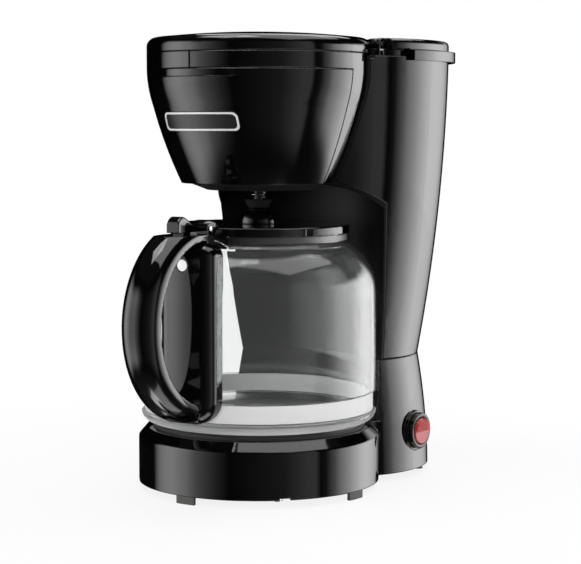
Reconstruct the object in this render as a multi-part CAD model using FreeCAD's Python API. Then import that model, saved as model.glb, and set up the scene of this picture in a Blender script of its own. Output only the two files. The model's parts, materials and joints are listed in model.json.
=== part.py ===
# Drip coffee maker: base with a warming plate, round reservoir column, brew head and glass carafe.
# Built about the warming plate's axis, with z = 0 at the lower edge of the base, front towards -Y.
# The finished pieces are then moved so that the origin is under the middle of the whole object.
import FreeCAD, Part
import math
import os

V = FreeCAD.Vector
X_AXIS = V(1, 0, 0)
Y_AXIS = V(0, 1, 0)
Z_AXIS = V(0, 0, 1)

# Driving dimensions in millimetres and degrees.
wall = 2.4                      # moulded wall thickness
gap = 0.3                       # clearance between curved faces of neighbouring pieces
seam = 0.5                      # visible joint line between mouldings
weld = 0.1                      # joint line between the column's two shells
pin_play = 0.05                 # radial clearance of a pin or stem in its hole
cut_over = 1.0                  # how far a cutter reaches past the face it opens

foot_height = 5.0
foot_width = 14.0
foot_depth = 2.4
foot_angle = 88.0
peg_radius = 3.5
peg_angle = 118.0
base_radius = 80.0
base_side_height = 30.0
shoulder_inset = 5.6
shoulder_rise = 6.5
shoulder_round = 2.5
floor_thickness = 2.0
floor_recess = 0.8
boss_radius = 4.5
screw_radius = 1.8
screw_length = 14.0
screw_head_radius = 3.4
screw_head_height = 2.0
screw_slot = 0.8
vent_count = 7
vent_width = 3.0
vent_length = 24.0
vent_pitch = 8.0
vent_start = 10.0
notch_width = 7.4
notch_height = 1.2
notch_angle = 48.0
plate_margin = 4.9
plate_thickness = 1.8
plate_edge_round = 1.0
gasket_width = 5.0
gasket_thickness = 1.5
gasket_lip = 0.8

column_back = 83.0              # column axis behind the plate axis
column_foot_radius = 70.0
column_waist_radius = 62.4
column_waist_height = 77.0
pedestal_bow = 1.5
column_bow = 4.0
column_top_radius = 82.5
rim_rise = 9.4                  # column rim above the top edge of the pull-out front
neck_inset = 3.3
neck_height = 4.7
alcove_clearance = 4.5
alcove_corner = 30.0

glass_radius = 78.0
glass_wall = 2.6
glass_foot_radius = 70.0
glass_foot_bow = 2.0
glass_bead_height = 6.4
groove_depth = 2.8
groove_width = 12.0
groove_slope = 1.0
glass_side_height = 85.9
shoulder_radius = 35.3
neck_radius = 57.7
neck_flare = 2.5
neck_blend = 1.4
neck_tall = 6.2
band_thickness = 0.6
band_fit = 0.15
carafe_turn = 4.5               # carafe put down with its handle a little to the right
carafe_lid_radius = 60.0
carafe_lid_rim = 5.5
lid_edge = 1.2
seal_width = 2.0
dome_radius = 13.0
dome_height = 10.5
dome_crest_radius = 5.9
dome_bow = 2.2
dome_wall = 2.0
drip_hole_radius = 4.0
lid_notch_angle = 64.0
lid_notch_width = 4.8
lid_notch_height = 4.0

handle_centre = 83.0            # middle of the handle's oval in front of the carafe's axis
handle_lift = 72.0              # and above the carafe's foot
handle_reach = 61.5
handle_half_height = 63.5
grip_thickness = 13.0
grip_width = 26.0
grip_round = 11.0
grip_inner_round = 1.5
guard_thickness = 12.4
guard_depth = 16.0              # how far the guard reaches back from its front over the shoulder
guard_width = 40.0
guard_round = 8.5
guard_corner = 16.0
guard_top_corner = 9.5
guard_lift = 7.5
guard_over = 4.0
bracket_depth = 14.0
neck_strap_width = 9.0
handle_screw_drop = 10.0
handle_screw_radius = 3.6
handle_screw_head = 2.0
handle_screw_shank = 1.9
handle_screw_length = 9.0
lid_pin_setback = 18.0
lid_pin_radius = 1.5
ear_radius = 4.0
ear_rise = 3.2
ear_round = 3.0
lever_width = 9.0
lever_root = 8.0
lever_run = 4.0
lever_rise = 2.8
lever_crest = 4.4
lever_dip = 2.8
lever_step = 1.5
lever_round = 1.2
tab_reach = 41.0
tab_height = 8.4
tab_round = 4.5
tab_drop = 3.2

valve_cup_height = 5.2
valve_cup_radius = 9.8
valve_tip_radius = 6.9
valve_stem_radius = 3.0
valve_seal_radius = 7.0
valve_seal_thickness = 2.3
seal_rest = 0.1
spring_room = 6.5
spring_clearance = 2.0
valve_wire = 0.7
valve_turns = 2

basket_dish_depth = 4.5
basket_floor = 2.5
basket_wall = 1.8
basket_margin = 16.6            # basket rim inside the brew head's rim
basket_rim_drop = 8.6
basket_flange = 1.5
flange_clearance = 1.4
basket_rise = 4.0
lug_start = 20.0
lug_width = 10.0
dish_taper = 11.0
runner_margin = 7.1
rail_ledge = 8.0
rail_thickness = 2.0
rail_web = 1.2
rail_front = 20.0
rail_back = 39.6

brew_foot_radius = 51.0
brew_cone_radius = 69.4
brew_cone_rise = 50.0
brew_cone_bow = 1.2
brew_flank_rise = 23.6
brew_flank_bow = 0.9
brew_rim_radius = 73.6
rear_inset = 3.0                # step in from the flanks to the back of the brew head
flank_half_angle = 102.0
front_half_angle = 90.6
band_height = 10.4
tick_width = 1.0
tick_depth = 0.7
ceiling_thickness = 2.0
shower_radius = 22.0
shower_depth = 1.4
shower_rest = 0.4
shower_rim = 2.0
shower_skin = 1.2
shower_hole = 1.2
shower_hole_count = 8
shower_hole_ring = 13.0
cover_side = 4.0
cover_round = 6.0
cover_crown = 3.7
skirt_depth = 3.0
skirt_flange = 1.5
finger_lip_radius = 53.0
finger_lip_reach = 3.0
finger_lip_height = 4.8
badge_length = 58.0
badge_width = 11.6
badge_corner = 3.4
badge_rise = 40.0
badge_thickness = 0.8
badge_bond = 0.1

lid_thickness = 6.8
lid_edge_round = 3.0
lid_lip_width = 3.6
lid_lip_gap = 0.9               # swings clear of the column's rim
lid_lip_drop = 2.5
lid_lip_height = 7.0
lid_lip_half_angle = 106.0
lid_plug_depth = 3.0
lid_plug_width = 2.0
hinge_setback = 9.0             # hinge axis behind the column's front tips
knuckle_radius = 3.4
knuckle_width = 2.6
hinge_pin_radius = 1.5
horn_depth = 10.0

switch_back = 5.0               # switch behind the column's axis
switch_height = 26.5
switch_radius = 12.5
switch_pad_rise = 0.2
switch_depth = 24.0
switch_rim = 2.3
bezel_height = 3.4
bezel_round = 1.2
rocker_radius = 9.2
rocker_reach = 3.2
rocker_depth = 3.0
rocker_tilt = 8.0
blade_length = 8.0
blade_width = 6.0
blade_thickness = 0.8
blade_spacing = 10.0
pad_depth = 8.4
pad_margin = 1.2

gland_height = 16.0
gland_bore = 3.4
gland_sleeve = 5.0
gland_flange = 7.5
gland_flange_thickness = 2.0
gland_length = 12.0
gland_pad_rise = 0.4

heater_radius = 40.0
heater_width = 26.0
heater_depth = 17.0
heater_sweep = 300.0
element_ring = 33.5
element_radius = 3.5
element_end = 4.0
strap_width = 12.0
strap_thickness = 1.2
strap_over = 2.0
stud_radius = 2.0
nut_radius = 4.0
nut_height = 3.2
thermostat_radius = 8.0
thermostat_height = 8.0
fuse_radius = 2.2
fuse_length = 24.0
hose_inner = 4.6
hose_wall = 2.2
hose_bend = 22.0
hose_side = 24.0                # hose stubs left and right of the middle
hose_setback = 29.0             # reservoir stubs behind the column's axis
stub_wall = 1.5
stub_length = 11.0
clip_width = 5.0
clip_thickness = 1.0
clip_inset = 2.0
riser_radius = 4.4
riser_wall = 1.2
arm_radius = 3.6
arm_wall = 1.2
arm_bend = 8.0
arm_lead = 5.0
arm_end = 4.0
socket_wall = 2.0
socket_depth = 4.0

# Heights, from the deck up through the carafe to the brew head and the column's rim.
deck_radius = base_radius - shoulder_inset
deck_height = base_side_height + shoulder_rise
plate_radius = deck_radius - plate_margin
heater_top = deck_height + gasket_thickness
plate_top = heater_top + plate_thickness
carafe_low = plate_top + gap
bead_top = carafe_low + glass_bead_height
groove_low = bead_top + groove_slope
groove_high = groove_low + groove_width
shoulder_height = carafe_low + glass_side_height
shoulder_turn = math.acos((neck_radius + neck_flare - glass_radius + shoulder_radius) / shoulder_radius)
neck_low = shoulder_height + shoulder_radius * math.sin(shoulder_turn) + neck_blend
neck_top = neck_low + neck_tall
carafe_lid_low = neck_top + gap
carafe_lid_top = carafe_lid_low + carafe_lid_rim
dome_top = carafe_lid_top + dome_height
valve_low = dome_top + gap
valve_top = valve_low + valve_cup_height
dish_low = valve_top + spring_room
brew_foot_height = dish_low + basket_dish_depth
alcove_height = brew_foot_height - 2.0
brew_cone_height = brew_foot_height + brew_cone_rise
front_height = brew_cone_height + brew_flank_rise
basket_rim_height = front_height - basket_rim_drop
band_top = front_height + band_height
cover_edge = band_top + seam + cover_side
column_top_height = front_height + rim_rise
lid_low = column_top_height + neck_height + gap
lid_top = lid_low + lid_thickness
above_all = lid_top + 10.0
far = 4.0 * base_radius

# Places and radii that follow from the driving dimensions.
column_axis = V(0, column_back, 0)
column_tip = (column_back ** 2 + (brew_rim_radius + seam) ** 2 - column_top_radius ** 2) / (2 * column_back)
lid_hinge_back = column_tip + hinge_setback
lid_hinge_height = lid_low + knuckle_radius
knuckle_start = math.sqrt((brew_rim_radius + seam) ** 2 - (lid_hinge_back - knuckle_radius) ** 2) + seam
ear_start = knuckle_start + knuckle_width + gap
lid_lip_radius = column_top_radius + lid_lip_gap + lid_lip_width
alcove_radius = glass_radius + alcove_clearance
alcove_half_width = alcove_radius - 10.5
groove_radius = glass_radius - groove_depth
handle_middle = carafe_low + handle_lift
guard_front = glass_radius + 2 * gap + guard_thickness
guard_low = carafe_low + guard_lift
guard_high = neck_low + guard_over
bracket_top = carafe_lid_low + 2.5
screw_height = neck_low - handle_screw_drop
lid_pin_reach = carafe_lid_radius + lid_pin_setback
lid_pin_height = carafe_lid_top + 0.6
basket_rim_radius = brew_rim_radius - basket_margin
basket_foot_radius = brew_foot_radius - rear_inset - wall - gap
flange_radius = brew_rim_radius - rear_inset - wall - flange_clearance
runner_half_width = brew_rim_radius - runner_margin
switch_pad = column_foot_radius + switch_pad_rise
switch_at = V(switch_pad, column_back + switch_back, switch_height)
rocker_at = V(switch_pad + 1.0, column_back + switch_back, switch_height)
gland_pad = column_back + column_foot_radius + gland_pad_rise
heater_low = heater_top - heater_depth
strap_low = heater_low - strap_thickness
hose_outer = hose_inner + hose_wall
hose_level = deck_height - wall - hose_outer - 1.5
hose_start = heater_radius + 18.0
hose_back = column_back + hose_setback
hose_sides = (-hose_side, hose_side)
tank_floor = column_waist_height + seam + wall
arm_height = front_height + ceiling_thickness + gap + arm_radius
riser_top = arm_height - arm_radius - 0.8
floor_top = floor_recess + floor_thickness


def arc(a, b, c):
    return Part.Arc(a, b, c).toShape()


def bowed(start, end, bow):
    """Arc in the XZ plane that stands out to the right of its upward chord."""
    chord = end - start
    side = V(chord.z, 0, -chord.x).normalize()
    return arc(start, start + chord * 0.5 + side * bow, end)


def straight(points):
    """Straight edges through a row of points."""
    return [Part.makeLine(a, b) for a, b in zip(points, points[1:])]


def turned(edges, back=0.0):
    """Solid of revolution of a closed outline in the XZ plane about a vertical axis."""
    face = Part.Face(Part.Wire(edges))
    solid = face.revolve(V(0, 0, 0), Z_AXIS, 360)
    solid.translate(V(0, back, 0))
    return solid


def outline(points):
    """Closed outline through (radius, height) points."""
    return straight([V(r, 0, z) for r, z in points + points[:1]])


def cylinder(radius, low, high, at=V(0, 0, 0)):
    return Part.makeCylinder(radius, high - low, V(at.x, at.y, low))


def ring(inner, outer, low, high, at=V(0, 0, 0)):
    return cylinder(outer, low, high, at).cut(cylinder(inner, low - cut_over, high + cut_over, at))


def rod(radius, start, end):
    """Cylinder between the centres of its two end faces."""
    return Part.makeCylinder(radius, (end - start).Length, start, end - start)


def box(low, high):
    size = high - low
    return Part.makeBox(size.x, size.y, size.z, low)


def around(radius, angle, height=0.0, back=0.0):
    """Point at an angle from the front, positive towards the right."""
    a = math.radians(angle)
    return V(radius * math.sin(a), back - radius * math.cos(a), height)


def sector(first, last, radius, low, high, back=0.0):
    """Wedge between two angles from the front, about a vertical axis."""
    wedge = Part.makeCylinder(radius, high - low, V(0, 0, low), Z_AXIS, last - first)
    wedge.rotate(V(0, 0, 0), Z_AXIS, first - 90)
    wedge.translate(V(0, back, 0))
    return wedge


def both_sides(shape):
    """The shape and its mirror image in the middle plane."""
    return [shape, shape.mirror(V(0, 0, 0), X_AXIS)]


def fused(shapes):
    return shapes[0].multiFuse(shapes[1:]).removeSplitter()


def level_edges(shape, height):
    """Edges that lie level at a height."""
    return [e for e in shape.Edges if abs(e.BoundBox.ZMin - height) < 0.01 and e.BoundBox.ZLength < 0.01]


def bent_tube(points, bend, outer, inner=0.0):
    """Tube along straight runs that are joined by tangent arcs."""
    edges = []
    start = points[0]
    for before, corner, after in zip(points, points[1:], points[2:]):
        u = (before - corner).normalize()
        w = (after - corner).normalize()
        half = u.getAngle(w) / 2
        leg = bend / math.tan(half)
        inward = (u + w).normalize()
        middle = corner + inward * (bend / math.sin(half) - bend)
        edges.append(Part.makeLine(start, corner + u * leg))
        edges.append(arc(corner + u * leg, middle, corner + w * leg))
        start = corner + w * leg
    edges.append(Part.makeLine(start, points[-1]))
    path = Part.Wire(edges)
    heading = points[1] - points[0]
    tube = path.makePipeShell([Part.Wire(Part.makeCircle(outer, points[0], heading))], True, False)
    if not inner:
        return tube
    return tube.cut(path.makePipeShell([Part.Wire(Part.makeCircle(inner, points[0], heading))], True, False))


def front_plate(wide, low, high, low_corner, high_corner):
    """Block with a round-cornered front outline between two heights, reaching forward from the axis."""
    block = box(V(-wide / 2, -far, low), V(wide / 2, 0, high))
    for height, corner in ((low, low_corner), (high, high_corner)):
        sides = [e for e in level_edges(block, height) if e.BoundBox.YLength > base_radius]
        block = block.makeFillet(corner, sides)
    return block


def brew_body(offset, low, high):
    """The round bowl of the brew head grown by an offset, kept between two heights."""
    foot = V(brew_foot_radius + offset, 0, brew_foot_height)
    cone = V(brew_cone_radius + offset, 0, brew_cone_height)
    rim = V(brew_rim_radius + offset, 0, front_height)
    edges = straight([V(0, 0, 0), V(foot.x, 0, 0), foot])
    edges += [bowed(foot, cone, brew_cone_bow), bowed(cone, rim, brew_flank_bow)]
    edges += straight([rim, V(rim.x, 0, above_all), V(0, 0, above_all), V(0, 0, 0)])
    return turned(edges).common(cylinder(far, low, high))


def brew_head(offset, low, high):
    """The bowl with its back stepped in behind the flanks, grown by an offset."""
    flank = flank_half_angle + math.degrees(offset / brew_rim_radius)
    flanks = brew_body(offset, low, high).common(sector(-flank, flank, far, low, high))
    return flanks.fuse(brew_body(offset - rear_inset, low, high))


def alcove(offset):
    """Round hollow for the carafe in the column's front, with a rounded arch at the top."""
    half = alcove_half_width + offset
    high = alcove_height + offset
    low = deck_height
    r = alcove_corner + offset
    s = r * math.sqrt(0.5)
    edges = [
        Part.makeLine(V(-half, 0, low), V(half, 0, low)),
        Part.makeLine(V(half, 0, low), V(half, 0, high - r)),
        arc(V(half, 0, high - r), V(half - r + s, 0, high - r + s), V(half - r, 0, high)),
        Part.makeLine(V(half - r, 0, high), V(r - half, 0, high)),
        arc(V(r - half, 0, high), V(r - half - s, 0, high - r + s), V(-half, 0, high - r)),
        Part.makeLine(V(-half, 0, high - r), V(-half, 0, low)),
    ]
    arch = Part.Face(Part.Wire(edges)).extrude(V(0, far, 0))
    arch.translate(V(0, -base_radius, 0))
    return cylinder(alcove_radius + offset, low, high).common(arch)


def front_hollow(offset):
    """Space in the column's front for the carafe, the brew head and its cover."""
    brew = brew_body(gap - rear_inset + offset, alcove_height - alcove_corner, above_all)
    cover = cylinder(brew_rim_radius + gap + offset, band_top - gap - offset, above_all)
    return alcove(offset).multiFuse([brew, cover])


def pedestal(inset, low, high):
    """Flared lower part of the column, kept between two heights."""
    foot = V(column_foot_radius - inset, 0, 0)
    waist = V(column_waist_radius - inset, 0, column_waist_height)
    below = V(0, 0, -2 * cut_over)
    above = V(0, 0, column_waist_height + 2 * cut_over)
    edges = straight([below, V(foot.x, 0, below.z), foot]) + [bowed(foot, waist, pedestal_bow)]
    edges += straight([waist, V(waist.x, 0, above.z), above, below])
    return turned(edges, column_back).common(cylinder(far, low, high, column_axis))


def column(inset):
    """Upper part of the column, from the waist to the top rim."""
    low = V(column_waist_radius - inset, 0, column_waist_height + seam)
    high = V(column_top_radius - inset, 0, column_top_height)
    edges = [bowed(low, high, column_bow)]
    edges += straight([high, V(0, 0, high.z), V(0, 0, low.z), low])
    return turned(edges, column_back)


def column_with_neck(inset):
    """The column and its stepped-in neck; a hollow one runs out at the top."""
    top = column_top_height + neck_height + (cut_over if inset else 0)
    neck = cylinder(column_top_radius - neck_inset - inset, column_top_height - cut_over, top, column_axis)
    return column(inset).fuse(neck)


def knuckle(first, last, radius):
    """Cylinder on the reservoir lid's hinge axis between two distances from the middle."""
    return rod(radius, V(first, lid_hinge_back, lid_hinge_height), V(last, lid_hinge_back, lid_hinge_height))


def boss_places():
    """Screw places: two in the drum and two in the foot of the column."""
    drum = [around(base_radius - wall - boss_radius + gap, a) for a in (-45, 45)]
    reach = column_foot_radius - wall - boss_radius - seam
    return drum + [around(reach, a, 0, column_back) for a in (-135, 135)]


def make_base_housing():
    """Drum with its deck and the pedestal behind it, in one moulding."""
    drum = turned(outline([(0, 0), (base_radius, 0), (base_radius, base_side_height),
                           (deck_radius, deck_height), (0, deck_height)]))
    drum = drum.makeFillet(shoulder_round, level_edges(drum, base_side_height))
    outer = drum.fuse(pedestal(0, 0, column_waist_height).cut(alcove(0)))
    roof = deck_height - wall
    side_room = cylinder(base_radius - wall, -cut_over, base_side_height - seam)
    deck_room = cylinder(deck_radius - 2 * wall, 0, roof)
    upper_room = pedestal(wall, roof - cut_over, column_waist_height + cut_over).cut(alcove(wall))
    upper_room = upper_room.cut(cylinder(alcove_radius + wall, 0, deck_height))
    lower_room = pedestal(wall, -cut_over, roof)
    shell = outer.cut(side_room.fuse(deck_room)).cut(lower_room).cut(upper_room)
    bosses = [cylinder(boss_radius, floor_top, base_side_height, p) for p in boss_places()]
    shell = shell.multiFuse([switch_pad_block(), gland_pad_block()] + bosses)
    switch_hole = switch_radius - switch_rim + 0.1
    shell = shell.cut(rod(switch_hole, switch_at - X_AXIS * 2 * switch_depth, switch_at + X_AXIS))
    shell = shell.cut(rod(gland_sleeve + 0.1, gland_at(-3 * gland_length), gland_at(cut_over)))
    for place in boss_places():
        shell = shell.cut(cylinder(screw_radius + pin_play, 0, floor_recess + screw_length + cut_over, place))
    shell = shell.cut(cylinder(plate_radius - gasket_width, base_side_height, deck_height + cut_over))
    half = math.degrees(notch_width / 2 / base_radius)
    for angle in (-notch_angle, notch_angle):
        notch = sector(angle - half, angle + half, base_radius + cut_over, -cut_over, notch_height)
        shell = shell.cut(notch.cut(cylinder(base_radius - 2 * wall, -2 * cut_over, 2 * notch_height)))
    return shell.removeSplitter()


def switch_pad_block():
    return rod(switch_radius + pad_margin, switch_at - X_AXIS * pad_depth, switch_at)


def gland_at(reach):
    """Point on the mains lead's axis, measured outwards from the gland's pad."""
    return V(0, gland_pad + reach, gland_height)


def gland_pad_block():
    return rod(gland_flange + pad_margin, gland_at(-pad_depth), gland_at(0))


def make_base_plate():
    """Flat bottom cover inside the walls of the base, with air slots under the column."""
    drum = cylinder(base_radius - wall - gap, floor_recess, floor_top)
    foot = cylinder(column_foot_radius - wall - gap - seam, floor_recess, floor_top, column_axis)
    plate = drum.fuse(foot).removeSplitter()
    for place in boss_places():
        plate = plate.cut(cylinder(screw_radius + gap, 0, floor_top + cut_over, place))
    for i in range(vent_count):
        x = (i - (vent_count - 1) / 2) * vent_pitch
        start = V(x - vent_width / 2, column_back + vent_start, 0)
        plate = plate.cut(box(start, start + V(vent_width, vent_length, floor_top + cut_over)))
    return plate


def make_feet():
    """Tabs under the rim of the drum, and two pegs under the back."""
    half = math.degrees(foot_width / 2 / base_radius)
    tabs = []
    for angle in (-foot_angle, 0, foot_angle):
        tab = sector(angle - half, angle + half, base_radius, -foot_height, 0)
        tabs.append(tab.cut(cylinder(base_radius - foot_depth, -foot_height - cut_over, cut_over)))
    reach = column_foot_radius - wall - peg_radius - 1.0
    pegs = [cylinder(peg_radius, -foot_height, floor_recess, around(reach, a, 0, column_back))
            for a in (-peg_angle, peg_angle)]
    return Part.makeCompound(tabs + pegs)


def make_base_screws():
    """Slotted screws that hold the bottom cover."""
    low = floor_recess - screw_head_height
    screws = []
    for place in boss_places():
        head = cylinder(screw_head_radius, low, floor_recess, place)
        shank = cylinder(screw_radius, low, floor_recess + screw_length, place)
        reach = V(screw_head_radius, screw_slot / 2, 0)
        slot = box(place - reach + V(0, 0, low), place + reach + V(0, 0, low + screw_slot))
        screws.append(head.fuse(shank).removeSplitter().cut(slot))
    return Part.makeCompound(screws)


def make_plate_gasket():
    return ring(plate_radius - gasket_width + seam, plate_radius + gasket_lip, deck_height, heater_top)


def make_warming_plate():
    """Disc with a rounded upper edge."""
    disc = cylinder(plate_radius, heater_top, plate_top)
    return disc.makeFillet(plate_edge_round, level_edges(disc, plate_top))


def make_plate_stud():
    return cylinder(stud_radius, strap_low - nut_height - cut_over, heater_top)


def make_heater_body():
    """Horseshoe casting under the plate, with the water way's two stubs at the back."""
    half = heater_sweep / 2
    body = sector(-half, half, heater_radius + heater_width / 2, heater_low, heater_top)
    body = body.cut(cylinder(heater_radius - heater_width / 2, heater_low - cut_over, heater_top + cut_over))
    stubs = []
    bores = []
    for x in hose_sides:
        start = V(x, heater_radius - wall, hose_level)
        end = V(x, hose_start + stub_length, hose_level)
        stubs.append(rod(hose_inner - weld, start, end))
        bores.append(rod(hose_inner - stub_wall, start + Y_AXIS, end + Y_AXIS))
    groove = ring(element_ring - element_radius - gap, element_ring + element_radius + gap,
                  heater_low - cut_over, heater_low + 2 * element_radius)
    return fused([body] + stubs).cut(groove).cut(bores[0].fuse(bores[1]))


def make_heating_element():
    """Sheathed rod that lies in the casting's groove on the strap."""
    half = heater_sweep / 2 - element_end
    level = heater_low + element_radius
    path = Part.Wire(arc(around(element_ring, -half, level), around(element_ring, 0, level),
                         around(element_ring, half, level)))
    first = path.Edges[0]
    start = first.valueAt(first.FirstParameter)
    section = Part.Wire(Part.makeCircle(element_radius, start, first.tangentAt(first.FirstParameter)))
    return path.makePipeShell([section], True, False)


def make_heater_strap():
    """Flat steel strap across the casting's underside, on the plate's stud."""
    half = heater_radius + heater_width / 2 + strap_over
    strap = box(V(-half, -strap_width / 2, strap_low), V(half, strap_width / 2, heater_low))
    return strap.cut(cylinder(stud_radius + gap, strap_low - cut_over, heater_low + cut_over))


def make_strap_nut():
    low = strap_low - nut_height
    corners = [around(nut_radius, 60 * i, low) for i in range(6)]
    nut = Part.Face(Part.makePolygon(corners + corners[:1])).extrude(V(0, 0, nut_height))
    return nut.cut(cylinder(stud_radius + pin_play, low - cut_over, strap_low + cut_over))


def make_thermostat():
    """Round thermostat on the strap with its two flat blades."""
    at = V(-heater_radius / 2, 0, 0)
    low = strap_low - thermostat_height
    reach = thermostat_radius + blade_width
    start = V(at.x - blade_width / 2, -reach, low)
    blades = box(start, start + V(blade_width, 2 * reach, blade_thickness))
    return fused([cylinder(thermostat_radius, low, strap_low, at), blades])


def make_thermal_fuse():
    """Fuse cartridge in a saddle on the strap."""
    middle = V(heater_radius / 2 + strap_over, 0, strap_low - fuse_radius - 0.2)
    half = V(fuse_length / 2, 0, 0)
    reach = V(fuse_length / 3, fuse_radius + 0.4, 0)
    saddle = box(middle - reach, middle + reach + V(0, 0, strap_low - middle.z))
    return fused([saddle, rod(fuse_radius, middle - half, middle + half)])


def make_hose(side):
    """Silicone hose from the casting's stub up to the reservoir's stub."""
    points = [V(side, hose_start, hose_level), V(side, hose_back, hose_level),
              V(side, hose_back, column_waist_height - cut_over)]
    return bent_tube(points, hose_bend, hose_outer, hose_inner)


def make_feed_hose():
    return make_hose(-hose_side)


def make_riser_hose():
    return make_hose(hose_side)


def make_hose_clips():
    """Flat clips round both ends of the two hoses."""
    clips = []
    for x in hose_sides:
        start = V(x, hose_start + clip_inset, hose_level)
        end = start + Y_AXIS * clip_width
        clip = rod(hose_outer + clip_thickness, start, end)
        clips.append(clip.cut(rod(hose_outer + weld, start - Y_AXIS, end + Y_AXIS)))
        top = column_waist_height - cut_over - clip_inset
        place = V(x, hose_back, 0)
        clips.append(ring(hose_outer + weld, hose_outer + clip_thickness, top - clip_width, top, place))
    return Part.makeCompound(clips)


def make_reservoir_housing():
    """Back shell of the column: outer wall, tank floor, hose stubs, neck and the lid's hinge ears."""
    room = column_with_neck(wall).common(cylinder(far, tank_floor, above_all, column_axis))
    horn_low = column_top_height - horn_depth
    room = room.cut(box(V(-far, 0, horn_low), V(far, lid_hinge_back + horn_depth, above_all)))
    shell = column_with_neck(0).cut(front_hollow(wall)).cut(room)
    for x in hose_sides:
        place = V(x, hose_back, 0)
        low = column_waist_height - stub_length
        shell = shell.fuse(cylinder(hose_inner - weld, low, tank_floor - seam, place))
        shell = shell.cut(cylinder(hose_inner - stub_wall, low - cut_over, tank_floor + cut_over, place))
    foot = box(V(ear_start, lid_hinge_back - knuckle_radius, column_top_height),
               V(ear_start + knuckle_width, lid_hinge_back + knuckle_radius, lid_hinge_height))
    ear = knuckle(ear_start, ear_start + knuckle_width, knuckle_radius).fuse(foot)
    ear = ear.cut(knuckle(0, 2 * ear_start, hinge_pin_radius + pin_play))
    return fused([shell] + both_sides(ear))


def make_reservoir_front():
    """Front shell of the column, which is the wall behind the carafe and the brew head."""
    front = column_with_neck(0).cut(front_hollow(0)).common(front_hollow(wall - weld))
    start = V(0, lid_hinge_back, arm_height)
    return front.cut(rod(arm_radius + gap, start, start + Y_AXIS * column_back))


def make_riser_tube():
    """Hot water tube through the tank, standing on the floor over the riser stub."""
    place = V(hose_side, hose_back, 0)
    return ring(riser_radius - riser_wall, riser_radius, tank_floor, riser_top, place)


def make_spray_arm():
    """Water arm from the riser over the brew head's edge to the shower head."""
    top = V(hose_side, hose_back, arm_height)
    bore = arm_radius - arm_wall
    bend = top - Y_AXIS * arm_lead
    points = [top, bend, V(0, bend.y - hose_side, arm_height)]
    arm = bent_tube(points + [V(0, arm_end, arm_height)], arm_bend, arm_radius)
    inside = bent_tube(points + [V(0, arm_end + arm_wall, arm_height)], arm_bend, bore)
    socket = cylinder(riser_radius + socket_wall, riser_top - socket_depth, arm_height + arm_radius + 1, top)
    well = cylinder(riser_radius + pin_play, riser_top - socket_depth - cut_over, riser_top, top)
    bore_up = cylinder(bore + gap, riser_top - cut_over, arm_height + seam, top)
    drain = cylinder(bore - gap, arm_height - arm_radius - cut_over, arm_height, V(0, arm_end + 2 * bore, 0))
    return fused([arm, socket]).cut(inside).cut(bore_up).cut(well).cut(drain)


def make_shower_head():
    """Perforated dish in the brew head's ceiling, under the spray arm."""
    high = front_height + shower_rest
    low = high - shower_depth
    dish = cylinder(shower_radius - gap, low, high)
    dish = dish.cut(cylinder(shower_radius - shower_rim, low + shower_skin, high + cut_over))
    for i in range(shower_hole_count):
        place = around(shower_hole_ring, 360 / shower_hole_count * i)
        dish = dish.cut(cylinder(shower_hole, low - cut_over, high, place))
    return dish


def front_opening(high):
    return sector(-front_half_angle, front_half_angle, far, 0, high)


def make_brew_housing():
    """Fixed flanks, back and band of the brew head, its ceiling and the two rails for the basket."""
    shell = brew_head(0, brew_foot_height, band_top).cut(brew_head(-wall, 0, above_all))
    shell = shell.cut(front_opening(front_height))
    roof = front_height + ceiling_thickness
    ceiling = brew_head(-wall / 2, front_height, roof)
    ceiling = ceiling.cut(cylinder(shower_radius, front_height - cut_over, roof + cut_over))
    rest = ring(shower_radius - shower_rim + seam, shower_radius + seam, front_height + shower_rest, roof)
    housing = fused([shell, ceiling, rest] + both_sides(basket_rail()))
    reach = arm_radius + gap
    arm_hole = rod(reach, V(0, rail_back, arm_height), V(0, 2 * rail_back, arm_height))
    arm_slot = box(V(-reach, rail_back, arm_height), V(reach, 2 * rail_back, band_top + cut_over))
    tick = box(V(-tick_width / 2, -brew_rim_radius - cut_over, front_height - cut_over),
               V(tick_width / 2, -brew_rim_radius + tick_depth, band_top + cut_over))
    return housing.cut(arm_hole.fuse(arm_slot)).cut(tick)


def basket_rail():
    """Ledge under the basket's rim on the right, hung from the ceiling by a web."""
    web_in = runner_half_width + seam
    web_out = web_in + rail_web
    high = basket_rim_height - basket_flange - gap
    low = high - rail_thickness
    ledge = box(V(runner_half_width - rail_ledge, -rail_front, low), V(web_out, rail_back, high))
    web = box(V(web_in, -rail_front, low), V(web_out, rail_front, front_height + ceiling_thickness / 2))
    rail = ledge.fuse(web).common(brew_head(-wall / 2, brew_foot_height, band_top))
    front_room = front_opening(front_height).cut(brew_body(-wall - 2 * gap, 0, above_all))
    return rail.cut(front_room)


def cover_shape(inset, low):
    """Solid cap with a rounded edge and a slight crown."""
    r = brew_rim_radius - inset
    edge = cover_edge - inset
    q = cover_round * (1 - math.sqrt(0.5))
    span = r - cover_round
    flat = edge + cover_round
    ball = (span ** 2 + cover_crown ** 2) / (2 * cover_crown)
    lean = math.asin(span / ball) / 2
    top = flat + cover_crown
    edges = [
        Part.makeLine(V(0, 0, low), V(r, 0, low)),
        Part.makeLine(V(r, 0, low), V(r, 0, edge)),
        arc(V(r, 0, edge), V(r - q, 0, flat - q), V(span, 0, flat)),
        arc(V(span, 0, flat), V(ball * math.sin(lean), 0, top - ball * (1 - math.cos(lean))), V(0, 0, top)),
        Part.makeLine(V(0, 0, top), V(0, 0, low)),
    ]
    return turned(edges)


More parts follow.
